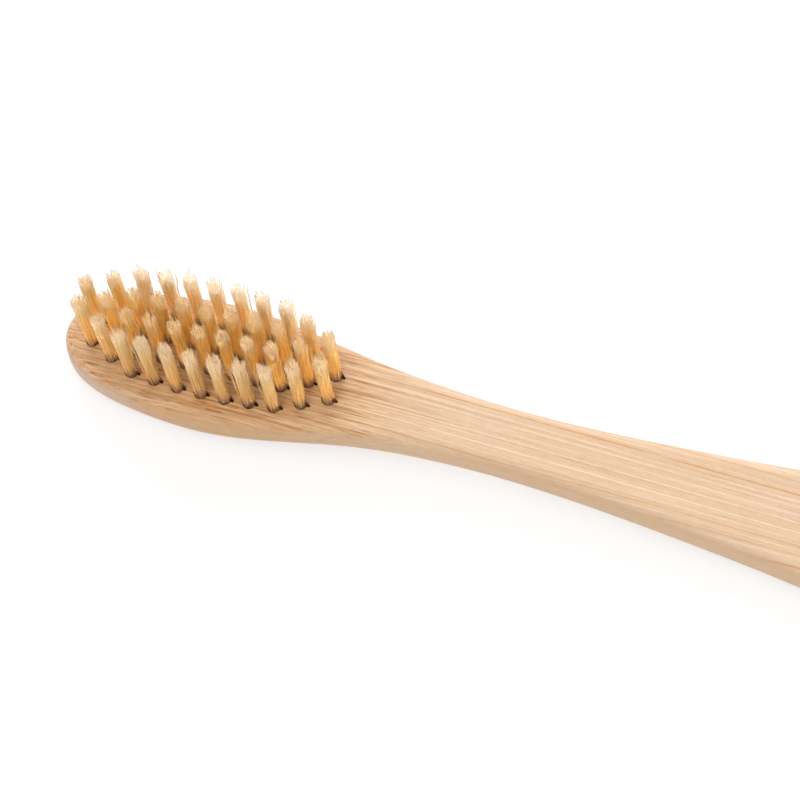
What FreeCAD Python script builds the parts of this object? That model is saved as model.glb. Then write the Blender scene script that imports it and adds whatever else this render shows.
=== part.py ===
import FreeCAD, Part
import math
import os

os.makedirs("parts", exist_ok=True)

# A bamboo toothbrush that lies on its back with its bristles up, in millimetres.
# +X runs from the tip of the head to the end of the handle, +Y across the brush, and
# Z = 0 is the table. The origin is on the table, halfway along the brush.

# Plan of the board, from the tip of the head to the end of the handle
brush_length = 190.0
head_centre_from_tip = 16.3
head_width = 14.0
neck_from_tip = 47.6
neck_width = 6.9
grip_from_tip = 105.0
grip_width = 15.4
tail_width = 12.4
tail_round_length = 6.2

# Outline between those stations: share of the way, and share of the change in width
tip_outline_shares = [(0.05, 0.355), (0.24, 0.705), (0.5, 0.884), (0.75, 0.967)]
taper_outline_shares = [(0.27, 0.27), (0.53, 0.7), (0.83, 0.955)]
swell_outline_shares = [(0.37, 0.289), (0.51, 0.48), (0.66, 0.735)]
narrowing_outline_shares = [(0.5, 0.32)]
tail_outline_shares = [(0.5, 0.14), (0.87, 0.51)]

# Side view: the head dips away from the neck, and the grip lies flat on the table
head_thickness = 4.0
grip_thickness = 4.5
head_dip_angle = 4.0
neck_bend_from_tip = 34.0
neck_bend_radius = 138.0
grip_bend_from_tip = 103.0
grip_bend_radius = 600.0
edge_radius = 1.2

# An edge is rounded by this much of the board's thickness at most
edge_limit_share = 0.45

# Tuft holes
column_spacing = 2.6
hole_diameter = 1.35
wood_under_hole = 1.1
wood_beside_rows = 2.25

# Rows of each column, from the tip, in row spacings from the middle of the head.
# A zero is one tuft on the middle line, and any other share is a pair, one on each side.
row_shares_by_column = [
    [0.5],
    [0.0, 1.03],
    [0.5, 1.51],
    [0.5, 1.62],
    [0.5, 1.7],
    [0.5, 1.71],
    [0.5, 1.7],
    [0.5, 1.62],
    [0.5, 1.51],
    [0.0, 1.08],
    [0.58],
]
row_letters_by_count = {2: "bc", 3: "amd", 4: "abcd"}

# Bristle tufts, folded round their anchors
bristle_height = 9.6
tuft_clearance = 0.05
tuft_flare = 0.1
tuft_dome_height = 0.5

# Flat wire anchors, driven in so that their ends bite into the wood, a little off the
# middle of the hole towards the handle
anchor_thickness = 0.25
anchor_shift = 0.1
anchor_height = 1.3
anchor_bite = 0.2
anchor_above_floor = 0.45
anchor_clearance = 0.02

cut_overrun = 1.0

hole_depth = head_thickness - wood_under_hole
outer_row_share = max(max(shares) for shares in row_shares_by_column)
row_spacing = (head_width / 2 - wood_beside_rows - hole_diameter / 2) / outer_row_share
anchor_bottom = anchor_above_floor - hole_depth
anchor_top = anchor_bottom + anchor_height
tip_x = -brush_length / 2
head_slope = math.tan(math.radians(head_dip_angle))
head_cosine = math.cos(math.radians(head_dip_angle))

# The back of the head starts this high at the tip, so that its rounded edge just
# touches the table
tip_back_height = -edge_radius * (head_slope + 1 / head_cosine - 1)


def unit(vector):
    return vector / vector.Length


def outline_stretch(start, end, start_half, end_half, shares):
    """Points of one stretch of the outline, its end included."""
    points = []
    for way, change in shares + [(1, 1)]:
        x = tip_x + start + way * (end - start)
        half = start_half + change * (end_half - start_half)
        points.append(FreeCAD.Vector(x, half, 0))
    return points


def plan_outline():
    """The outline seen from above, as a closed wire of two mirrored splines.

    The splines run straight across the brush at both ends of it, and straight along it
    at the stations between them.
    """
    tail_from_tip = brush_length - tail_round_length
    stretches = [
        (0, head_centre_from_tip, 0, head_width, tip_outline_shares),
        (head_centre_from_tip, neck_from_tip, head_width, neck_width, taper_outline_shares),
        (neck_from_tip, grip_from_tip, neck_width, grip_width, swell_outline_shares),
        (grip_from_tip, tail_from_tip, grip_width, tail_width, narrowing_outline_shares),
        (tail_from_tip, brush_length, tail_width, 0, tail_outline_shares),
    ]
    points = [FreeCAD.Vector(tip_x, 0, 0)]
    stations = [0]
    for start, end, start_width, end_width, shares in stretches:
        points += outline_stretch(start, end, start_width / 2, end_width / 2, shares)
        stations.append(len(points) - 1)
    along = FreeCAD.Vector(1, 0, 0)
    edges = []
    for side in (1, -1):
        tangents = [along] * len(points)
        tangents[0] = FreeCAD.Vector(0, side, 0)
        tangents[-1] = FreeCAD.Vector(0, -side, 0)
        fixed = [index in stations for index in range(len(points))]
        spline = Part.BSplineCurve()
        spline.interpolate(
            Points=[FreeCAD.Vector(point.x, side * point.y, 0) for point in points],
            Tangents=tangents,
            TangentFlags=fixed,
            Scale=False,
        )
        edges.append(spline.toShape())
    return Part.Wire(edges)


def bent_line(points, radii):
    """Straight runs through the points, joined at the inner ones by tangent arcs."""
    edges = []
    run_start = points[0]
    for before, corner, after, radius in zip(points, points[1:], points[2:], radii):
        back = unit(before - corner)
        ahead = unit(after - corner)
        half_turn = (math.pi - back.getAngle(ahead)) / 2
        tangent = radius * math.tan(half_turn)
        arc_start = corner + back * tangent
        arc_end = corner + ahead * tangent
        arc_middle = corner + unit(back + ahead) * (radius * (1 / math.cos(half_turn) - 1))
        edges.append(Part.LineSegment(run_start, arc_start).toShape())
        edges.append(Part.Arc(arc_start, arc_middle, arc_end).toShape())
        run_start = arc_end
    edges.append(Part.LineSegment(run_start, points[-1]).toShape())
    return edges


def raised_corner(before, corner, after, height):
    """The corner of a line that runs at this height above two runs that meet."""
    ahead = unit(unit(corner - before) + unit(after - corner))
    half_turn = unit(corner - before).getAngle(unit(after - corner)) / 2
    upward = FreeCAD.Vector(-ahead.z, 0, ahead.x)
    return corner + upward * (height / math.cos(half_turn))


def side_profile():
    """The side view of the board, run past both of its ends."""
    tip = FreeCAD.Vector(tip_x - cut_overrun, 0, tip_back_height - cut_overrun * head_slope)
    neck = FreeCAD.Vector(tip_x + neck_bend_from_tip, 0,
                          tip_back_height + neck_bend_from_tip * head_slope)
    grip = FreeCAD.Vector(tip_x + grip_bend_from_tip, 0, 0)
    tail = FreeCAD.Vector(tip_x + brush_length + cut_overrun, 0, 0)
    back = bent_line([tip, neck, grip, tail], [neck_bend_radius, grip_bend_radius])
    upper_tip = tip + FreeCAD.Vector(0, 0, head_thickness / head_cosine)
    upper_neck = raised_corner(tip, neck, grip, head_thickness)
    upper_grip = raised_corner(neck, grip, tail, grip_thickness)
    upper_tail = tail + FreeCAD.Vector(0, 0, grip_thickness)
    face = bent_line([upper_tip, upper_neck, upper_grip, upper_tail],
                     [neck_bend_radius + head_thickness, grip_bend_radius - grip_thickness])
    ends = [Part.LineSegment(tip, upper_tip).toShape(),
            Part.LineSegment(tail, upper_tail).toShape()]
    return Part.Wire(Part.__sortEdges__(back + face + ends))


def make_board():
    """The bamboo body before drilling: plan and side view together, edges rounded."""
    reach = max(head_width, grip_width) + cut_overrun
    tall = FreeCAD.Vector(0, 0, brush_length)
    plan = Part.Face(plan_outline())
    plan.translate(tall * -0.5)
    side = Part.Face(side_profile())
    side.translate(FreeCAD.Vector(0, -reach, 0))
    board = plan.extrude(tall).common(side.extrude(FreeCAD.Vector(0, 2 * reach, 0)))
    rims = [edge for edge in board.Edges if edge.BoundBox.XLength > edge_radius]
    rounding = min(edge_radius, edge_limit_share * min(head_thickness, grip_thickness))
    return board.makeFillet(rounding, rims)


def head_placement():
    """The middle of the bristle field on the face of the head, tilted with it."""
    height = tip_back_height + head_centre_from_tip * head_slope + head_thickness / head_cosine
    return FreeCAD.Placement(
        FreeCAD.Vector(tip_x + head_centre_from_tip, 0, height),
        FreeCAD.Rotation(FreeCAD.Vector(0, 1, 0), -head_dip_angle),
    )


def tuft_places():
    """Name of the column, row letter and place on the face of the head, for each tuft."""
    places = []
    middle_column = (len(row_shares_by_column) - 1) / 2
    for column, shares in enumerate(row_shares_by_column):
        rows = sorted({side * share for share in shares for side in (-1, 1)})
        letters = row_letters_by_count[len(rows)]
        x = (column - middle_column) * column_spacing
        for letter, row in zip(letters, rows):
            places.append((f"{column + 1:02d}", letter, FreeCAD.Vector(x, row * row_spacing, 0)))
    return places


def anchor_box(clearance, bottom, top):
    """The space of an anchor, with a clearance at its sides and ends."""
    length = hole_diameter + 2 * anchor_bite + 2 * clearance
    width = anchor_thickness + 2 * clearance
    corner = FreeCAD.Vector(anchor_shift - length / 2, -width / 2, bottom)
    return Part.makeBox(length, width, top - bottom, corner)


def make_drilling():
    """One blind hole with the slot that its anchor was driven down."""
    hole = Part.makeCylinder(hole_diameter / 2, hole_depth + cut_overrun,
                             FreeCAD.Vector(0, 0, -hole_depth))
    slot = anchor_box(anchor_clearance, anchor_bottom, cut_overrun)
    return hole.fuse(slot)


def make_tuft():
    """One bundle: straight in its hole, a little wider at its domed tip."""
    root_radius = hole_diameter / 2 - tuft_clearance
    tip_radius = root_radius + tuft_flare
    floor = tuft_clearance - hole_depth
    shoulder = bristle_height - tuft_dome_height
    dome_radius = (tip_radius ** 2 + tuft_dome_height ** 2) / (2 * tuft_dome_height)
    half_angle = math.asin(tip_radius / dome_radius) / 2
    dome_middle = FreeCAD.Vector(dome_radius * math.sin(half_angle), 0,
                                 bristle_height - dome_radius * (1 - math.cos(half_angle)))
    corners = [
        FreeCAD.Vector(0, 0, bristle_height),
        FreeCAD.Vector(0, 0, floor),
        FreeCAD.Vector(root_radius, 0, floor),
        FreeCAD.Vector(root_radius, 0, 0),
        FreeCAD.Vector(tip_radius, 0, shoulder),
    ]
    edges = [Part.LineSegment(a, b).toShape() for a, b in zip(corners, corners[1:])]
    edges.append(Part.Arc(corners[-1], dome_middle, corners[0]).toShape())
    section = Part.Face(Part.Wire(edges))
    bundle = section.revolve(FreeCAD.Vector(), FreeCAD.Vector(0, 0, 1), 360)
    window = anchor_box(anchor_clearance, anchor_bottom - anchor_clearance,
                        anchor_top + anchor_clearance)
    return bundle.cut(window)


def placed(shape, place):
    """A copy of a shape at a place on the face of the head."""
    copy = shape.copy()
    copy.Placement = head_placement().multiply(FreeCAD.Placement(place, FreeCAD.Rotation()))
    return copy


def main():
    drilling = make_drilling()
    tuft = make_tuft()
    anchor = anchor_box(0, anchor_bottom, anchor_top)
    places = tuft_places()

    handle = make_board().cut([placed(drilling, place) for column, row, place in places])
    handle.exportStep("parts/handle.step")

    anchors = {}
    for column, row, place in places:
        placed(tuft, place).exportStep(f"parts/tuft_{column}_{row}.step")
        anchors.setdefault(column, []).append(placed(anchor, place))
    for column, solids in anchors.items():
        Part.makeCompound(solids).exportStep(f"parts/anchors_{column}.step")


main()
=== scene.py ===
import math

import bpy
from bpy.props import (
    FloatProperty,
    FloatVectorProperty,
    IntProperty,
    PointerProperty,
)
from mathutils import Euler, Matrix, Vector


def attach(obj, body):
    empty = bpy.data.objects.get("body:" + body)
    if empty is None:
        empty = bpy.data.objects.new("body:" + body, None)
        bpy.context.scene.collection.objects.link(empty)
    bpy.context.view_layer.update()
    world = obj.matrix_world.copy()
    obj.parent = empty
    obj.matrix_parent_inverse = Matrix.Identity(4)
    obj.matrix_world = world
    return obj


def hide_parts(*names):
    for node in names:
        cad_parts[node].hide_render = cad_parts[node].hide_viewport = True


bl_info = {
    "name": "Bamboo Toothbrush",
    "version": (1, 0, 0),
    "blender": (4, 5, 0),
    "location": "3D View > Sidebar > Toothbrush",
    "description": "Bristle tufts, bamboo and brass for a bamboo toothbrush",
    "category": "Object",
}

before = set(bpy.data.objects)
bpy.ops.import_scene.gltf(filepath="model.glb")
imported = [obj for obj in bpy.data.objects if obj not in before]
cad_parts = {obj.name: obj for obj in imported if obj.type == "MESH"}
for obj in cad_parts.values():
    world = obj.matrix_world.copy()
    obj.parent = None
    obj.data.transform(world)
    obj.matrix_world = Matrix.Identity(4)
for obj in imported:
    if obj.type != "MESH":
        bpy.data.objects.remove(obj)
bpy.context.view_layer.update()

MM = 0.001
GOLDEN_ANGLE = math.pi * (3 - math.sqrt(5))
TUFT_PREFIX = "tuft_"
ANCHOR_PREFIX = "anchors_"
MIDDLE_TUFT = "tuft_06_b"

# Sizes of the CAD model that the looks are fitted to, from the face of the head
CAD_TUFT_HEIGHT = 9.6 * MM
HOLE_DEPTH = 2.9 * MM

# The filaments part below this height, a little above their anchor
PARTING_HEIGHT = -0.9 * MM
# A strand stands wholly in the anchor slot between these heights, keeps this share of its
# place in the bundle there, and has joined its tuft again at the last height
SLOT_LOW = -0.2 * MM
SLOT_HIGH = 0.1 * MM
SLOT_SQUEEZE = (0.26, 0.13, 0.0)
JOINED_HEIGHT = 2.6 * MM

# Each filament is a line of points with a section of a few sides
FILAMENT_POINTS = 8
FILAMENT_SIDES = 5

# Places along the brush in millimetres, where the tip of the head is at -95: where the
# deeper colour and the bolder grain of the head start and are full, how much nearer the
# tip the colour comes on the walls, and where the wall turns across the fibres
HEAD_START = -50.0
HEAD_COLOUR_FULL = -70.0
HEAD_GRAIN_FULL = -66.0
WALL_COLOUR_LAG = 6.0
TIP_WALL_START = -83.0
TIP_WALL_FULL = -89.0

# Places across the brush in millimetres, between which the looks of the bristles change.
# The outer rows stand up to 4.1 from the middle line, the inner rows 1.2, the front at -Y
FRONT_ROW = -4.2
INNER_ROWS_START = -0.8
INNER_ROWS_END = 1.8
BACK_ROW = 3.8

# Half length and half width in millimetres of two ellipses round the middle tuft: one
# holds every hole and slot, and the other is the field of the inner tufts
HOLES_PATCH = (14.7, 5.9)
INNER_PATCH = (12.6, 4.0)

# The wood is darkened from just below the face to a little past the floor of the holes, in
# millimetres: partly scorch from the drilling and partly painted shade inside the holes
SCORCH_AND_SHADE_START = 0.08
SCORCH_AND_SHADE_FULL = 0.2
SCORCH_AND_SHADE_PAST_FLOOR = 0.6
SCORCH_AND_SHADE_FADE = 0.4

# Height of the raised grain, and the lines that rolling leaves on the wire
GRAIN_RELIEF = 0.05 * MM
DRAW_LINE_LENGTH = 3.0 * MM
DRAW_LINE_WIDTH = 0.05 * MM

# What the camera sees of the floor: light of its own, and a grey paper that takes the
# shadows, which together come to white
FLOOR_GLOW = 0.62
FLOOR_GREY = 0.45

# Square lamps: name, place, the point it faces, side and the setting that holds its power
LAMPS = [
    ("key", (-0.05, -0.35, 0.95), (-0.03, 0.0, 0.0), 0.6, "key_power"),
    ("back", (-0.45, 0.9, 0.45), (-0.08, 0.0, 0.0), 0.9, "back_power"),
    ("fill", (0.6, 0.1, 0.8), (0.0, 0.0, 0.0), 0.5, "fill_power"),
]

SENSOR_WIDTH = 36.0
CLIP_START = 0.01


def linear(hex_value):
    """An sRGB hex value as Blender's linear red, green and blue."""
    channels = [int(hex_value[start:start + 2], 16) / 255 for start in (1, 3, 5)]
    return [c / 12.92 if c <= 0.04045 else ((c + 0.055) / 1.055) ** 2.4 for c in channels]


def length_property(name, description, millimetres):
    """A length, given in millimetres and kept in metres."""
    return FloatProperty(name=name, description=description, default=millimetres * MM,
                         unit="LENGTH", precision=5)


def colour_property(name, description, hex_value):
    """A colour, given as an sRGB hex value."""
    return FloatVectorProperty(name=name, description=description, subtype="COLOR",
                               size=3, min=0, max=1, default=linear(hex_value))


def add_node(tree, kind, settings=None, **inputs):
    """A node with its settings. An input is named, or numbered as in i0, and is given a
    socket to link from or a value."""
    node = tree.nodes.new(kind)
    for name, value in (settings or {}).items():
        setattr(node, name, value)
    for key, value in inputs.items():
        name = int(key[1:]) if key[1:].isdigit() else key.replace("_", " ")
        socket = node.inputs[name]
        if isinstance(value, bpy.types.NodeSocket):
            tree.links.new(value, socket)
        elif value is not None:
            socket.default_value = value
    return node


class ToothbrushBristles(bpy.types.PropertyGroup):
    filament_count: IntProperty(
        name="Filaments", description="Filament ends that stand out of each hole",
        default=120, min=1)
    filament_diameter: length_property("Filament Diameter", "Thickness of one filament", 0.125)
    root_radius: length_property("Root Radius", "Radius of a bundle in its hole", 0.54)
    tip_radius: length_property("Tip Radius", "Radius of a bundle below its cut ends", 0.67)
    flare: FloatProperty(
        name="Flare", description="How far the cut ends spread, as a share of the root radius",
        default=0.1, min=0, max=1, subtype="FACTOR")
    bristle_height: length_property("Bristle Height", "Face of the head to the cut ends", 9.75)
    root_depth: length_property("Root Depth", "Face of the head to the lower ends", 2.8)
    anchor_gap: length_property("Anchor Gap", "Half the gap that the anchor keeps open", 0.21)
    unevenness: length_property("Unevenness", "How much shorter the shortest filaments are", 1.8)
    lean: length_property("Lean", "How far the top of a tuft leans off its axis", 0.12)
    slot_share: FloatProperty(
        name="Slot Share", default=0.22, min=0, max=1, subtype="FACTOR",
        description="Share of the filaments beside the anchor slot that stand in it")
    slot_mouth: length_property("Slot Mouth", "Axis of the hole to the middle of the slot", 0.8)
    clump_count: IntProperty(
        name="Clumps", description="Points that the cut ends of a tuft draw together in",
        default=9, min=1)
    clump_pull: FloatProperty(
        name="Clump Pull", description="How far the ends draw towards their clump",
        default=0.38, min=0, max=1, subtype="FACTOR")
    stray_share: FloatProperty(
        name="Stray Share", description="Share of the filaments that stand away",
        default=0.04, min=0, max=1, subtype="FACTOR")
    stray_reach: length_property("Stray Reach", "How far a stray end stands away", 0.5)
    light_reach: length_property("Light Reach", "How far light travels inside a tuft", 2.0)
    # Painted shade at the foot of each tuft, where it stands in its hole
    root_shade_colour: colour_property("Root Shade Colour", "Filaments where they leave the hole", "#8F6A52")
    shaft_colour: colour_property("Shaft Colour", "Filaments below the middle", "#C8A165")
    upper_colour: colour_property("Upper Colour", "Filaments above the middle", "#C4A672")
    tip_colour: colour_property("Tip Colour", "Split ends of the filaments", "#C4B29A")
    inner_colour: colour_property("Inner Colour", "Filaments deep inside the brush", "#EDBF6B")


class ToothbrushBamboo(bpy.types.PropertyGroup):
    pale_colour: colour_property("Pale Colour", "Ground of the wood", "#EACAA8")
    tan_colour: colour_property("Tan Colour", "Denser layers of the wood", "#E2BD96")
    pith_colour: colour_property("Pith Colour", "Pale lines between the fibres", "#FCE2C6")
    cloud_colour: colour_property("Cloud Colour", "Faint pinkish patches", "#E5C3A6")
    fibre_colour: colour_property("Fibre Colour", "Single dark fibres", "#BC8350")
    ring_colour: colour_property("Ring Colour", "Orange-brown lines along the brush", "#D89F66")
    wall_tint: colour_property("Wall Tint", "What the side walls take from the colour", "#F2F0EB")
    head_tint: colour_property("Head Tint", "What the head takes from the colour", "#F6E4CB")
    # Partly scorch from the drilling, partly painted shade inside the holes and slots
    scorch_and_shade_colour: colour_property("Scorch and Shade Colour", "Walls of the drilled holes", "#2A170B")
    roughness: FloatProperty(
        name="Roughness", description="Sanded and lightly oiled wood",
        default=0.42, min=0, max=1, subtype="FACTOR")
    dip_angle: FloatProperty(
        name="Dip Angle", description="How far the head dips away from the neck",
        default=math.radians(4), subtype="ANGLE", unit="ROTATION")


class ToothbrushWire(bpy.types.PropertyGroup):
    colour: colour_property("Colour", "Brass of the anchors", "#C9A24E")
    roughness: FloatProperty(
        name="Roughness", description="Rolled flat wire",
        default=0.35, min=0, max=1, subtype="FACTOR")


class ToothbrushStage(bpy.types.PropertyGroup):
    floor_size: FloatProperty(
        name="Floor Size", description="Side of the square floor", default=6.0, unit="LENGTH")
    floor_colour: colour_property("Floor Colour", "Plain floor, for the light it returns", "#F4F2EF")
    world_strength: FloatProperty(
        name="World Strength", description="Even light from all round", default=0.72, min=0)
    key_power: FloatProperty(
        name="Key Power", description="Large soft light over the head", default=1.7,
        min=0, unit="POWER")
    fill_power: FloatProperty(
        name="Fill Power", description="Soft light from the right", default=0.6,
        min=0, unit="POWER")
    back_power: FloatProperty(
        name="Back Power", description="Soft light through the bristles from behind the tip",
        default=6.0, min=0, unit="POWER")
    camera_place: FloatVectorProperty(
        name="Camera Place", description="Where the camera stands", subtype="TRANSLATION",
        unit="LENGTH", size=3, default=(-0.024758, -0.104265, 0.248609))
    camera_turn: FloatVectorProperty(
        name="Camera Turn", description="How the camera is turned", subtype="EULER",
        unit="ROTATION", size=3,
        default=[math.radians(angle) for angle in (24.438, 0.515, 16.779)])
    camera_lens: FloatProperty(
        name="Camera Lens", description="Focal length on a 36 mm sensor", default=117.0,
        unit="CAMERA")


class ToothbrushSettings(bpy.types.PropertyGroup):
    bristles: PointerProperty(type=ToothbrushBristles, name="Bristles", description="Tufts")
    bamboo: PointerProperty(type=ToothbrushBamboo, name="Bamboo", description="Wood")
    wire: PointerProperty(type=ToothbrushWire, name="Wire", description="Anchors")
    stage: PointerProperty(type=ToothbrushStage, name="Stage", description="Floor and light")


def new_material(name):
    """A material with its Principled shader, and the tree that both are in."""
    material = bpy.data.materials.new(name)
    material.use_nodes = True
    tree = material.node_tree
    return material, tree, tree.nodes["Principled BSDF"]


def mix_colours(tree, factor, first, second, blend_type="MIX"):
    """The first colour with a share of the second mixed in."""
    node = add_node(tree, "ShaderNodeMix", {"data_type": "RGBA", "blend_type": blend_type},
                    i0=factor, i6=first, i7=second)
    return node.outputs[2]


def maths(tree, operation, *values):
    """The result of one maths operation."""
    inputs = {f"i{index}": value for index, value in enumerate(values)}
    return add_node(tree, "ShaderNodeMath", {"operation": operation}, **inputs).outputs[0]


def ramp(tree, value, low, high, start=0.0, end=1.0):
    """A smooth step of a value from one number to another."""
    return add_node(tree, "ShaderNodeMapRange", {"interpolation_type": "SMOOTHSTEP"},
                    i0=value, i1=low, i2=high, i3=start, i4=end).outputs[0]


def with_alpha(colour):
    """A colour that hides what is behind it."""
    return (*colour, 1.0)


def tuft_placement(node, bamboo):
    """Where the axis of a CAD tuft meets the face of the head, tilted with the head."""
    turn = Euler((0, -bamboo.dip_angle, 0)).to_matrix()
    points = [turn.inverted() @ vertex.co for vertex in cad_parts[node].data.vertices]
    low = Vector([min(point[axis] for point in points) for axis in range(3)])
    high = Vector([max(point[axis] for point in points) for axis in range(3)])
    middle = (low + high) / 2
    face = turn @ Vector((middle.x, middle.y, high.z - CAD_TUFT_HEIGHT))
    return Matrix.Translation(face) @ turn.to_4x4()


def patch_of_holes(tree, axes, middle, half_sizes):
    """Squared share of the way from the middle of the holes to an ellipse round them."""
    from_middle = maths(tree, "SUBTRACT", axes[0], middle.x / MM)
    along = maths(tree, "DIVIDE", from_middle, half_sizes[0])
    across = maths(tree, "DIVIDE", axes[1], half_sizes[1])
    return maths(tree, "ADD", maths(tree, "MULTIPLY", along, along),
                 maths(tree, "MULTIPLY", across, across))


# Lines that run the whole length of the wood: place across the brush, half width,
# strength, and the setting that holds the colour, sizes in millimetres
WOOD_LINES = [
    (-6.33, 0.14, 0.45, "ring_colour"),
    (-5.93, 0.14, 0.75, "pith_colour"),
    (-5.56, 0.10, 0.50, "ring_colour"),
    (-5.16, 0.16, 1.00, "ring_colour"),
    (-4.33, 0.12, 0.60, "pith_colour"),
    (-3.96, 0.10, 0.50, "ring_colour"),
    (-3.43, 0.12, 0.55, "pith_colour"),
    (-2.96, 0.12, 0.80, "ring_colour"),
    (-2.33, 0.20, 0.30, "pith_colour"),
    (-1.53, 0.11, 1.00, "pith_colour"),
    (-1.10, 0.10, 0.20, "ring_colour"),
    (-0.66, 0.08, 0.40, "ring_colour"),
    (-0.48, 0.10, 0.75, "pith_colour"),
    (0.32, 0.25, 0.35, "pith_colour"),
    (0.90, 0.09, 0.35, "ring_colour"),
    (1.14, 0.10, 0.60, "pith_colour"),
    (1.42, 0.09, 0.35, "ring_colour"),
    (1.74, 0.12, 1.00, "pith_colour"),
    (2.45, 0.15, 1.00, "ring_colour"),
    (2.92, 0.12, 0.40, "pith_colour"),
    (3.82, 0.14, 0.75, "ring_colour"),
    (4.62, 0.12, 0.50, "pith_colour"),
    (5.32, 0.14, 0.60, "ring_colour"),
    (6.12, 0.12, 0.50, "pith_colour"),
]

# Noise drawn out along the fibres: length and width in millimetres, and detail
GRAIN = {
    "broad": (70.0, 2.6, 1.0),
    "strands": (40.0, 0.28, 2.0),
    "flecks": (3.2, 0.18, 2.0),
    "clouds": (4.0, 1.1, 3.0),
    "breaks": (9.0, 0.5, 1.0),
    "wander": (45.0, 9.0, 0.0),
    "speckle": (0.9, 0.13, 1.0),
}


def millimetre_place(tree):
    """Object coordinates in millimetres, whole and as three axes."""
    place = add_node(tree, "ShaderNodeTexCoord").outputs["Object"]
    millimetres = add_node(tree, "ShaderNodeVectorMath", {"operation": "SCALE"},
                           i0=place, i3=1 / MM).outputs[0]
    return millimetres, add_node(tree, "ShaderNodeSeparateXYZ", i0=millimetres).outputs


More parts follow.
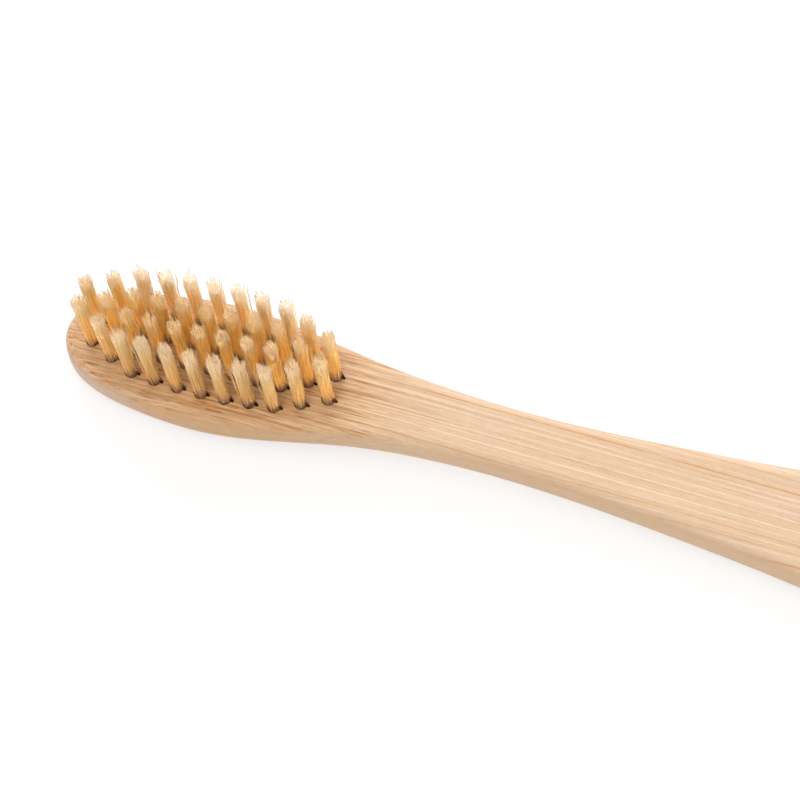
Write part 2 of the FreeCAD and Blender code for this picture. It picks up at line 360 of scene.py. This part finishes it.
def bamboo_material(settings):
    """Bamboo, sawn along the fibres, sanded and oiled: straight pale and orange-brown
    lines a millimetre or so apart on the face, plainer walls and a soft matte sheen."""
    material, tree, shader = new_material("Bamboo sanded and oiled")
    millimetres, axes = millimetre_place(tree)

    grain = {}
    for name, (length, width, detail) in GRAIN.items():
        stretched = add_node(tree, "ShaderNodeVectorMath", {"operation": "MULTIPLY"},
                             i0=millimetres, i1=(1 / length, 1 / width, 1 / width))
        noise = add_node(tree, "ShaderNodeTexNoise", i0=stretched.outputs[0], Scale=1.0,
                         Detail=detail, Roughness=0.5)
        grain[name] = noise.outputs["Fac"]

    # The walls show the side of the strip, where the lines run together
    normal = add_node(tree, "ShaderNodeNewGeometry").outputs["Normal"]
    upright = add_node(tree, "ShaderNodeSeparateXYZ", i0=normal).outputs[2]
    face = ramp(tree, maths(tree, "ABSOLUTE", upright), 0.35, 0.88)
    wall = maths(tree, "MULTIPLY_ADD", face, -1.0, 1.0)
    # The wood is stronger coloured and lined at the head than at the handle
    lagging = maths(tree, "MULTIPLY_ADD", wall, WALL_COLOUR_LAG, axes[0])
    head = ramp(tree, lagging, HEAD_START, HEAD_COLOUR_FULL)
    strong = ramp(tree, axes[0], HEAD_START, HEAD_GRAIN_FULL, 0.28, 1.45)
    contrast = maths(tree, "MULTIPLY", strong,
                     maths(tree, "MULTIPLY_ADD", face, 0.7, 0.3))

    # Broad tan layers, pale and dark strands, dark flecks and faint clouds
    tan = ramp(tree, grain["broad"], 0.36, 0.66, 0.0, 0.6)
    colour = mix_colours(tree, tan, with_alpha(settings.pale_colour),
                         with_alpha(settings.tan_colour))
    for low, high, strength, chosen in ((0.54, 0.70, 0.75, settings.fibre_colour),
                                        (0.46, 0.32, 0.75, settings.pith_colour)):
        share = ramp(tree, grain["strands"], low, high, 0.0, strength)
        share = maths(tree, "MULTIPLY", share, contrast)
        colour = mix_colours(tree, share, colour, with_alpha(chosen))
    spots = ramp(tree, grain["flecks"], 0.54, 0.74, 0.0, 0.6)
    spots = maths(tree, "MULTIPLY", spots, contrast)
    colour = mix_colours(tree, spots, colour, with_alpha(settings.fibre_colour))
    cloudy = ramp(tree, grain["clouds"], 0.42, 0.68, 0.0, 0.45)
    colour = mix_colours(tree, cloudy, colour, with_alpha(settings.cloud_colour))

    # The lines wander a little, fade here and there and run on the faces only
    across = maths(tree, "MULTIPLY_ADD", grain["wander"], 0.12, axes[1])
    unbroken = ramp(tree, grain["breaks"], 0.28, 0.56, 0.25, 1.0)
    unbroken = maths(tree, "MULTIPLY", unbroken, face)
    for middle, half_width, strength, chosen in WOOD_LINES:
        distance = maths(tree, "ABSOLUTE", maths(tree, "SUBTRACT", across, middle))
        line = ramp(tree, distance, half_width, 0.0, 0.0, strength)
        line = maths(tree, "MULTIPLY", line, unbroken)
        colour = mix_colours(tree, line, colour, with_alpha(getattr(settings, chosen)))
    colour = mix_colours(tree, wall, colour, with_alpha(settings.wall_tint), "MULTIPLY")
    deepened = maths(tree, "MULTIPLY", head, maths(tree, "MULTIPLY_ADD", face, 0.25, 0.75))
    colour = mix_colours(tree, deepened, colour, with_alpha(settings.head_tint), "MULTIPLY")

    # Inside the holes and slots, below the face of the dipped head, the wood is darkened:
    # partly scorch from the drilling and partly painted shade in the hollows
    middle = tuft_placement(MIDDLE_TUFT, settings)
    downward = middle.to_3x3() @ Vector((0, 0, -1))
    from_face = add_node(tree, "ShaderNodeVectorMath", {"operation": "SUBTRACT"},
                         i0=millimetres, i1=middle.translation / MM).outputs[0]
    depth = add_node(tree, "ShaderNodeVectorMath", {"operation": "DOT_PRODUCT"},
                     i0=from_face, i1=downward).outputs[1]
    lowest = HOLE_DEPTH / MM + SCORCH_AND_SHADE_PAST_FLOOR
    below = maths(tree, "MULTIPLY", ramp(tree, depth, SCORCH_AND_SHADE_START, SCORCH_AND_SHADE_FULL),
                  ramp(tree, depth, lowest, lowest - SCORCH_AND_SHADE_FADE))
    spread = patch_of_holes(tree, axes, middle.translation, HOLES_PATCH)
    drilled = maths(tree, "MULTIPLY", below, maths(tree, "LESS_THAN", spread, 1.0))
    colour = mix_colours(tree, drilled, colour, with_alpha(settings.scorch_and_shade_colour))

    # Short fibres speckle the whole surface, the bristles lend some light to the face that
    # they stand on, and the wall is greyer where it turns across the fibres at the tip
    speckle = maths(tree, "MULTIPLY_ADD", grain["speckle"], 0.26, 0.87)
    bed = maths(tree, "MULTIPLY", ramp(tree, spread, 1.0, 0.6), ramp(tree, upright, 0.35, 0.88))
    tip_wall = ramp(tree, axes[0], TIP_WALL_START, TIP_WALL_FULL, 0.04, -0.2)
    tip_wall = maths(tree, "MULTIPLY", wall, tip_wall)
    saturation = maths(tree, "ADD", tip_wall, maths(tree, "MULTIPLY_ADD", bed, 0.06, 1.0))
    value = maths(tree, "MULTIPLY", speckle, maths(tree, "MULTIPLY_ADD", bed, 0.18, 1.0))
    shaded = add_node(tree, "ShaderNodeHueSaturation", Saturation=saturation, Value=value,
                      Color=colour)
    tree.links.new(shaded.outputs[0], shader.inputs["Base Color"])

    shader.inputs["IOR"].default_value = 1.48
    rough = maths(tree, "MULTIPLY_ADD", grain["flecks"], 0.2, settings.roughness - 0.1)
    tree.links.new(rough, shader.inputs["Roughness"])
    height = maths(tree, "ADD", grain["strands"], maths(tree, "MULTIPLY", grain["flecks"], 0.8))
    bump = add_node(tree, "ShaderNodeBump", Strength=0.3, Distance=GRAIN_RELIEF, Height=height)
    tree.links.new(bump.outputs[0], shader.inputs["Normal"])
    return material


def filament_material(settings, bamboo):
    """Extruded nylon filaments, drawn fine and tapered: a waxy tan shaft that lets some
    light through, paler where the cut ends split."""
    material, tree, shader = new_material("Nylon filament tapered")
    along, tone, aside = [
        add_node(tree, "ShaderNodeAttribute", {"attribute_name": name}).outputs["Fac"]
        for name in ("along", "tone", "aside")]
    shifted = maths(tree, "ADD", along, maths(tree, "MULTIPLY_ADD", tone, 0.16, -0.08))
    colour = mix_colours(tree, ramp(tree, shifted, 0.33, 0.73),
                         with_alpha(settings.shaft_colour), with_alpha(settings.upper_colour))
    colour = mix_colours(tree, ramp(tree, shifted, 0.63, 0.96), colour,
                         with_alpha(settings.tip_colour))

    # Inside the brush the light has come down through other bristles, so the shafts are a
    # deeper gold and the cut ends are quieter. The back row, which stands free against the
    # light, is paler
    middle = tuft_placement(MIDDLE_TUFT, bamboo).translation
    axes = millimetre_place(tree)[1]
    behind = ramp(tree, axes[1], FRONT_ROW, INNER_ROWS_START)
    among = maths(tree, "MULTIPLY", behind,
                  ramp(tree, axes[1], BACK_ROW, INNER_ROWS_END, 0.25, 1.0))
    cut_end = maths(tree, "MULTIPLY", among, ramp(tree, along, 0.55, 0.86))
    lifted = maths(tree, "MULTIPLY", maths(tree, "MULTIPLY_ADD", behind, 0.2, 0.95),
                   maths(tree, "MULTIPLY_ADD", cut_end, -0.19, 1.0))
    golden = maths(tree, "MULTIPLY", maths(tree, "MULTIPLY_ADD", behind, 0.08, 1.0),
                   ramp(tree, axes[1], INNER_ROWS_END, BACK_ROW, 1.0, 0.66))
    golden = maths(tree, "MULTIPLY_ADD", cut_end, 0.07, golden)
    colour = add_node(tree, "ShaderNodeHueSaturation", Saturation=golden, Value=lifted,
                      Color=colour).outputs[0]
    spread = patch_of_holes(tree, axes, middle, INNER_PATCH)
    inside = maths(tree, "MULTIPLY", ramp(tree, spread, 1.15, 0.6), ramp(tree, along, 1.02, 0.38))
    colour = mix_colours(tree, inside, colour, with_alpha(settings.inner_colour))
    # Towards their roots the filaments darken: painted shade where the tuft stands in its hole
    colour = mix_colours(tree, ramp(tree, shifted, 0.23, 0.0), colour,
                         with_alpha(settings.root_shade_colour))

    # The strands that stand in a slot take the colour of its dark wall and lose their specular:
    # painted shade of the open slot, partly scorch from its wall
    colour = mix_colours(tree, ramp(tree, aside, 0.4, 0.8, 0.0, 0.94), colour,
                         with_alpha(bamboo.scorch_and_shade_colour))
    tree.links.new(ramp(tree, aside, 0.4, 0.75, 0.5, 0.0), shader.inputs["Specular IOR Level"])

    value = maths(tree, "MULTIPLY_ADD", tone, 0.26, 0.87)
    shaded = add_node(tree, "ShaderNodeHueSaturation", Value=value, Color=colour)
    tree.links.new(shaded.outputs[0], shader.inputs["Base Color"])
    shader.inputs["Roughness"].default_value = 0.42
    shader.inputs["IOR"].default_value = 1.53
    shader.subsurface_method = "BURLEY"
    shader.inputs["Subsurface Weight"].default_value = 1.0
    shader.inputs["Subsurface Radius"].default_value = (1.0, 0.93, 0.8)
    shader.inputs["Subsurface Scale"].default_value = settings.light_reach
    return material


def brass_material(settings):
    """Rolled brass wire, flattened and cut: a dull yellow metal with fine draw lines."""
    material, tree, shader = new_material("Brass wire rolled flat")
    place = add_node(tree, "ShaderNodeTexCoord").outputs["Object"]
    drawn = add_node(tree, "ShaderNodeVectorMath", {"operation": "MULTIPLY"},
                     i0=place,
                     i1=(1 / DRAW_LINE_LENGTH, 1 / DRAW_LINE_WIDTH, 1 / DRAW_LINE_WIDTH))
    noise = add_node(tree, "ShaderNodeTexNoise", i0=drawn.outputs[0], Scale=1.0, Detail=1.0)
    worn = [channel * 0.7 for channel in settings.colour]
    colour = mix_colours(tree, ramp(tree, noise.outputs["Fac"], 0.35, 0.7),
                         with_alpha(settings.colour), with_alpha(worn))
    tree.links.new(colour, shader.inputs["Base Color"])
    shader.inputs["Metallic"].default_value = 1.0
    shader.inputs["Roughness"].default_value = settings.roughness
    return material


# What the node group of a tuft is given, and the kind of socket of each
TUFT_INPUTS = [
    ("Filament Count", "NodeSocketInt"),
    ("Filament Radius", "NodeSocketFloat"),
    ("Root Radius", "NodeSocketFloat"),
    ("Tip Radius", "NodeSocketFloat"),
    ("Flare", "NodeSocketFloat"),
    ("Bristle Height", "NodeSocketFloat"),
    ("Root Depth", "NodeSocketFloat"),
    ("Anchor Gap", "NodeSocketFloat"),
    ("Unevenness", "NodeSocketFloat"),
    ("Lean", "NodeSocketFloat"),
    ("Slot Share", "NodeSocketFloat"),
    ("Slot Mouth", "NodeSocketFloat"),
    ("Clump Count", "NodeSocketInt"),
    ("Clump Pull", "NodeSocketFloat"),
    ("Stray Share", "NodeSocketFloat"),
    ("Stray Reach", "NodeSocketFloat"),
    ("Seed", "NodeSocketInt"),
    ("Material", "NodeSocketMaterial"),
]


def tuft_tree():
    """Geometry Nodes for one tuft, its axis on Z and the face of the head at zero."""
    tree = bpy.data.node_groups.new("Bristle Tuft", "GeometryNodeTree")
    identifiers = {}
    for name, kind in TUFT_INPUTS:
        socket = tree.interface.new_socket(name=name, in_out="INPUT", socket_type=kind)
        identifiers[name] = socket.identifier
    tree.interface.new_socket(name="Geometry", in_out="OUTPUT",
                              socket_type="NodeSocketGeometry")
    given = add_node(tree, "NodeGroupInput").outputs

    def vector(operation, *values):
        """The result of one vector operation."""
        inputs = {f"i{index}": value for index, value in enumerate(values)}
        node = add_node(tree, "ShaderNodeVectorMath", {"operation": operation}, **inputs)
        return node.outputs[0]

    def scaled(value, factor):
        """A vector made longer or shorter."""
        node = add_node(tree, "ShaderNodeVectorMath", {"operation": "SCALE"},
                        i0=value, i3=factor)
        return node.outputs[0]

    def blended(factor, first, second):
        """A vector between two others."""
        node = add_node(tree, "ShaderNodeMix", {"data_type": "VECTOR"},
                        i0=factor, i4=first, i5=second)
        return node.outputs[1]

    def chance(low, high, number, draw):
        """A random value for each number, of its own for each tuft and each draw."""
        seed = maths(tree, "MULTIPLY_ADD", given["Seed"], 32.0, float(draw))
        node = add_node(tree, "FunctionNodeRandomValue", {"data_type": "FLOAT"},
                        i2=low, i3=high, i7=number, i8=seed)
        return node.outputs[1]

    def sunflower(number, count, radius, draw):
        """Evenly spread places on a disc, as the seeds of a sunflower are."""
        share = maths(tree, "DIVIDE", maths(tree, "ADD", number, 0.5), count)
        ring = maths(tree, "MULTIPLY", maths(tree, "SQRT", share), radius)
        loose = chance(-0.4, 0.4, number, draw)
        angle = maths(tree, "MULTIPLY_ADD", number, GOLDEN_ANGLE, loose)
        flat = add_node(tree, "ShaderNodeCombineXYZ", i0=maths(tree, "COSINE", angle),
                        i1=maths(tree, "SINE", angle)).outputs[0]
        return scaled(flat, ring), flat, share

    # One straight line for each filament, its points drawn towards both ends, where it bends
    line = add_node(tree, "GeometryNodeCurvePrimitiveLine", {"mode": "POINTS"}).outputs[0]
    line = add_node(tree, "GeometryNodeResampleCurve", i0=line,
                    Count=FILAMENT_POINTS).outputs[0]
    lines = add_node(tree, "GeometryNodeDuplicateElements", {"domain": "SPLINE"},
                     i0=line, Amount=given["Filament Count"]).outputs[0]
    index = add_node(tree, "GeometryNodeInputIndex").outputs[0]
    number = add_node(tree, "GeometryNodeFieldOnDomain", {"domain": "CURVE", "data_type": "INT"},
                      i0=index).outputs[0]
    way = add_node(tree, "GeometryNodeSplineParameter").outputs["Factor"]
    turn = maths(tree, "SINE", maths(tree, "MULTIPLY", way, 2 * math.pi))
    eased = maths(tree, "MULTIPLY_ADD", turn, -0.06, way)

    root, outward, share = sunflower(number, given["Filament Count"], given["Root Radius"], 1)
    spread = maths(tree, "DIVIDE", given["Tip Radius"], given["Root Radius"])
    tip = scaled(root, spread)

    # The ends draw together in a few clumps, and a few strays stand away
    clump_index = add_node(tree, "GeometryNodeInputIndex").outputs[0]
    clump_reach = maths(tree, "MULTIPLY", given["Tip Radius"], 1.04)
    clump_place = sunflower(clump_index, given["Clump Count"], clump_reach, 2)[0]
    clumps = add_node(tree, "GeometryNodePoints", Count=given["Clump Count"],
                      Position=clump_place).outputs[0]
    nearest = add_node(tree, "GeometryNodeSampleNearest", {"domain": "POINT"},
                       i0=clumps, i1=tip).outputs[0]
    position = add_node(tree, "GeometryNodeInputPosition").outputs[0]
    clump = add_node(tree, "GeometryNodeSampleIndex", {"data_type": "FLOAT_VECTOR"},
                     i0=clumps, i1=position, i2=nearest).outputs[0]
    pull = maths(tree, "MULTIPLY", given["Clump Pull"], chance(0.5, 1.0, number, 3))
    drawn = scaled(vector("SUBTRACT", clump, tip), pull)
    stray = maths(tree, "LESS_THAN", chance(0.0, 1.0, number, 4), given["Stray Share"])
    reach = maths(tree, "MULTIPLY", stray,
                  maths(tree, "MULTIPLY", given["Stray Reach"], chance(0.3, 1.0, number, 5)))
    tip = vector("ADD", tip, scaled(outward, reach))

    # The clumps are cut at different heights and so are the ends in them, most of all in
    # the middle of the tuft
    own_cut = maths(tree, "POWER", chance(0.0, 1.0, number, 7), 0.9)
    cut = maths(tree, "MULTIPLY_ADD", own_cut, 0.55, chance(0.0, 0.55, nearest, 6))
    cut = maths(tree, "MULTIPLY", cut, maths(tree, "MULTIPLY_ADD", share, -0.9, 1.35))
    top = maths(tree, "SUBTRACT", given["Bristle Height"],
                maths(tree, "MULTIPLY", cut, given["Unevenness"]))
    full = maths(tree, "ADD", top, given["Root Depth"])
    height = maths(tree, "SUBTRACT", maths(tree, "MULTIPLY", eased, full), given["Root Depth"])

    # Above the face a filament spreads from its root to its tip, flares at its end and
    # draws to its clump there
    above = maths(tree, "MAXIMUM", maths(tree, "DIVIDE", height, top), 0.0)
    place = blended(maths(tree, "POWER", above, 0.55), root, tip)
    flare = maths(tree, "MULTIPLY", maths(tree, "POWER", above, 8.0), given["Flare"])
    place = vector("ADD", place, scaled(root, flare))
    place = vector("ADD", place, scaled(drawn, maths(tree, "POWER", above, 9.0)))

    # Each tuft leans a little its own way
    lean = add_node(tree, "ShaderNodeCombineXYZ", i0=chance(-1.0, 1.0, 0, 10),
                    i1=chance(-1.0, 1.0, 0, 11)).outputs[0]
    leaning = maths(tree, "MULTIPLY", maths(tree, "POWER", above, 1.5), given["Lean"])
    place = vector("ADD", place, scaled(lean, leaning))

    # A few strands on the side of the slot come up out of it
    slot_side = maths(tree, "GREATER_THAN",
                      add_node(tree, "ShaderNodeSeparateXYZ", i0=outward).outputs[0], 0.3)
    slotted = maths(tree, "MULTIPLY", slot_side,
                    maths(tree, "LESS_THAN", chance(0.0, 1.0, number, 12), given["Slot Share"]))
    bulge = maths(tree, "MULTIPLY", ramp(tree, height, PARTING_HEIGHT, SLOT_LOW),
                  ramp(tree, height, JOINED_HEIGHT, SLOT_HIGH))
    mouth = add_node(tree, "ShaderNodeCombineXYZ", i0=given["Slot Mouth"]).outputs[0]
    aside = maths(tree, "MULTIPLY", slotted, bulge)
    place = blended(aside, place, vector("MULTIPLY_ADD", place, SLOT_SQUEEZE, mouth))
    axes = add_node(tree, "ShaderNodeSeparateXYZ", i0=place).outputs

    # Down at its anchor the bundle parts, half on each side
    side = maths(tree, "SIGN", axes[1])
    parted = maths(tree, "MULTIPLY", side,
                   maths(tree, "MAXIMUM", maths(tree, "ABSOLUTE", axes[1]), given["Anchor Gap"]))
    deep = maths(tree, "LESS_THAN", height, PARTING_HEIGHT)
    across = add_node(tree, "ShaderNodeMix", {"data_type": "FLOAT"},
                      i0=deep, i2=axes[1], i3=parted).outputs[0]
    placed = add_node(tree, "ShaderNodeCombineXYZ", i0=axes[0], i1=across, i2=height).outputs[0]

    # Stored before the points move, because the way along a filament changes with them
    named = {"domain": "POINT", "data_type": "FLOAT"}
    reached = maths(tree, "DIVIDE", height, given["Bristle Height"])
    for name, value in (("along", reached), ("aside", aside),
                        ("tone", chance(0.0, 1.0, number, 8))):
        lines = add_node(tree, "GeometryNodeStoreNamedAttribute", named, i0=lines,
                         Name=name, Value=value).outputs[0]
    lines = add_node(tree, "GeometryNodeSetPosition", i0=lines, Position=placed).outputs[0]

    # A tube round each line, narrowing to its end
    narrowing = ramp(tree, way, 0.87, 1.0, 1.0, 0.35)
    radius = maths(tree, "MULTIPLY", given["Filament Radius"], narrowing)
    section = add_node(tree, "GeometryNodeCurvePrimitiveCircle", {"mode": "RADIUS"},
                       Resolution=FILAMENT_SIDES, Radius=1.0).outputs[0]
    mesh = add_node(tree, "GeometryNodeCurveToMesh", i0=lines, i1=section, Scale=radius,
                    Fill_Caps=True).outputs[0]
    mesh = add_node(tree, "GeometryNodeSetShadeSmooth", i0=mesh).outputs[0]
    mesh = add_node(tree, "GeometryNodeRealizeInstances", i0=mesh).outputs[0]
    mesh = add_node(tree, "GeometryNodeSetMaterial", i0=mesh,
                    Material=given["Material"]).outputs[0]
    add_node(tree, "NodeGroupOutput", i0=mesh)
    return tree, identifiers


def node_material(prefix, material):
    """Gives the CAD nodes of this name a material, and checks that there are some."""
    nodes = [node for name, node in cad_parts.items() if name.startswith(prefix)]
    if not nodes:
        raise RuntimeError(f"no CAD node is named {prefix}")
    for node in nodes:
        node.data.materials.clear()
        node.data.materials.append(material)


class TOOTHBRUSH_OT_handle(bpy.types.Operator):
    """Finish the wooden head, neck and handle"""

    bl_idname = "toothbrush.handle"
    bl_label = "Bamboo Handle"

    def execute(self, context):
        settings = context.scene.toothbrush
        node_material("handle", bamboo_material(settings.bamboo))
        return {"FINISHED"}


class TOOTHBRUSH_OT_anchors(bpy.types.Operator):
    """Finish the flat wire anchors at the bottom of the holes"""

    bl_idname = "toothbrush.anchors"
    bl_label = "Wire Anchors"

    def execute(self, context):
        settings = context.scene.toothbrush
        node_material(ANCHOR_PREFIX, brass_material(settings.wire))
        return {"FINISHED"}


class TOOTHBRUSH_OT_tufts(bpy.types.Operator):
    """Grow a bundle of filaments in each hole of the head"""

    bl_idname = "toothbrush.tufts"
    bl_label = "Bristle Tufts"

    def execute(self, context):
        settings = context.scene.toothbrush
        bristles = settings.bristles
        tree, identifiers = tuft_tree()
        values = {
            "Filament Count": bristles.filament_count,
            "Filament Radius": bristles.filament_diameter / 2,
            "Root Radius": bristles.root_radius,
            "Tip Radius": bristles.tip_radius,
            "Flare": bristles.flare,
            "Bristle Height": bristles.bristle_height,
            "Root Depth": bristles.root_depth,
            "Anchor Gap": bristles.anchor_gap,
            "Unevenness": bristles.unevenness,
            "Lean": bristles.lean,
            "Slot Share": bristles.slot_share,
            "Slot Mouth": bristles.slot_mouth,
            "Clump Count": bristles.clump_count,
            "Clump Pull": bristles.clump_pull,
            "Stray Share": bristles.stray_share,
            "Stray Reach": bristles.stray_reach,
            "Material": filament_material(bristles, settings.bamboo),
        }
        names = sorted(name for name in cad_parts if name.startswith(TUFT_PREFIX))
        if not names:
            raise RuntimeError("the packed model has no tufts")
        for seed, name in enumerate(names):
            label = name.replace(TUFT_PREFIX, "bristles_")
            tuft = bpy.data.objects.new(label, bpy.data.meshes.new(label))
            context.scene.collection.objects.link(tuft)
            modifier = tuft.modifiers.new("Tuft", "NODES")
            modifier.node_group = tree
            for key, value in values.items():
                modifier[identifiers[key]] = value
            modifier[identifiers["Seed"]] = seed + 1
            depsgraph = context.evaluated_depsgraph_get()
            mesh = bpy.data.meshes.new_from_object(
                tuft.evaluated_get(depsgraph), preserve_all_data_layers=True,
                depsgraph=depsgraph)
            tuft.modifiers.clear()
            tuft.data = mesh
            mesh.name = label
            mesh.transform(tuft_placement(name, settings.bamboo))
            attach(tuft, "root")
            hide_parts(name)
        return {"FINISHED"}


def soft_light(name, place, target, size, power):
    """A square lamp that faces a point."""
    lamp = bpy.data.lights.new(name, "AREA")
    lamp.size = size
    lamp.energy = power
    stand = bpy.data.objects.new(name, lamp)
    stand.location = place
    stand.rotation_euler = (Vector(target) - Vector(place)).to_track_quat("-Z", "Y").to_euler()
    bpy.context.scene.collection.objects.link(stand)


class TOOTHBRUSH_OT_stage(bpy.types.Operator):
    """Set up the floor, the light and the camera"""

    bl_idname = "toothbrush.stage"
    bl_label = "Stage"

    def execute(self, context):
        scene = context.scene
        stage = scene.toothbrush.stage
        scene.view_settings.view_transform = "Standard"

        half = stage.floor_size / 2
        mesh = bpy.data.meshes.new("floor")
        corners = [(-half, -half, 0), (half, -half, 0), (half, half, 0), (-half, half, 0)]
        mesh.from_pydata(corners, [], [(0, 1, 2, 3)])
        floor = bpy.data.objects.new("floor", mesh)
        scene.collection.objects.link(floor)
        mesh.materials.append(floor_material(stage))

        world = bpy.data.worlds.new("Studio")
        world.use_nodes = True
        scene.world = world
        background = world.node_tree.nodes["Background"]
        background.inputs["Color"].default_value = (1, 1, 1, 1)
        background.inputs["Strength"].default_value = stage.world_strength

        for name, place, target, size, power in LAMPS:
            soft_light(name, place, target, size, getattr(stage, power))

        camera = bpy.data.objects.new("camera", bpy.data.cameras.new("camera"))
        camera.data.lens = stage.camera_lens
        camera.data.sensor_width = SENSOR_WIDTH
        camera.data.clip_start = CLIP_START
        camera.location = stage.camera_place
        camera.rotation_euler = stage.camera_turn
        scene.collection.objects.link(camera)
        scene.camera = camera
        return {"FINISHED"}


def floor_material(stage):
    """Matt white paper: plain, pale and bright enough to show white to the camera."""
    material, tree, shader = new_material("Paper matt white")
    shader.inputs["Base Color"].default_value = with_alpha(stage.floor_colour)
    shader.inputs["Roughness"].default_value = 0.6
    shader.inputs["Specular IOR Level"].default_value = 0.0
    rays = add_node(tree, "ShaderNodeLightPath").outputs
    seen = maths(tree, "MAXIMUM", rays["Is Camera Ray"],
                 maths(tree, "MAXIMUM", rays["Is Glossy Ray"], rays["Is Transmission Ray"]))
    glow = add_node(tree, "ShaderNodeEmission", Color=(1, 1, 1, 1),
                    Strength=FLOOR_GLOW).outputs[0]
    paper = add_node(tree, "ShaderNodeBsdfDiffuse",
                     Color=(FLOOR_GREY, FLOOR_GREY, FLOOR_GREY, 1)).outputs[0]
    shown = add_node(tree, "ShaderNodeAddShader", i0=glow, i1=paper).outputs[0]
    both = add_node(tree, "ShaderNodeMixShader", i0=seen, i1=shader.outputs[0], i2=shown)
    tree.links.new(both.outputs[0], tree.nodes["Material Output"].inputs["Surface"])
    return material


class TOOTHBRUSH_PT_panel(bpy.types.Panel):
    """Settings and steps of the toothbrush"""

    bl_idname = "TOOTHBRUSH_PT_panel"
    bl_label = "Toothbrush"
    bl_space_type = "VIEW_3D"
    bl_region_type = "UI"
    bl_category = "Toothbrush"

    def draw(self, context):
        settings = context.scene.toothbrush
        for operator, group in (
            (TOOTHBRUSH_OT_handle, settings.bamboo),
            (TOOTHBRUSH_OT_anchors, settings.wire),
            (TOOTHBRUSH_OT_tufts, settings.bristles),
            (TOOTHBRUSH_OT_stage, settings.stage),
        ):
            box = self.layout.box()
            box.operator(operator.bl_idname)
            for name in group.__annotations__:
                box.prop(group, name)


CLASSES = (
    ToothbrushBristles,
    ToothbrushBamboo,
    ToothbrushWire,
    ToothbrushStage,
    ToothbrushSettings,
    TOOTHBRUSH_OT_handle,
    TOOTHBRUSH_OT_anchors,
    TOOTHBRUSH_OT_tufts,
    TOOTHBRUSH_OT_stage,
    TOOTHBRUSH_PT_panel,
)


def register():
    for cls in CLASSES:
        bpy.utils.register_class(cls)
    bpy.types.Scene.toothbrush = PointerProperty(type=ToothbrushSettings)


def unregister():
    del bpy.types.Scene.toothbrush
    for cls in reversed(CLASSES):
        bpy.utils.unregister_class(cls)


def main():
    register()
    bpy.ops.toothbrush.handle()
    bpy.ops.toothbrush.anchors()
    bpy.ops.toothbrush.tufts()
    bpy.ops.toothbrush.stage()


if __name__ == "__main__":
    main()
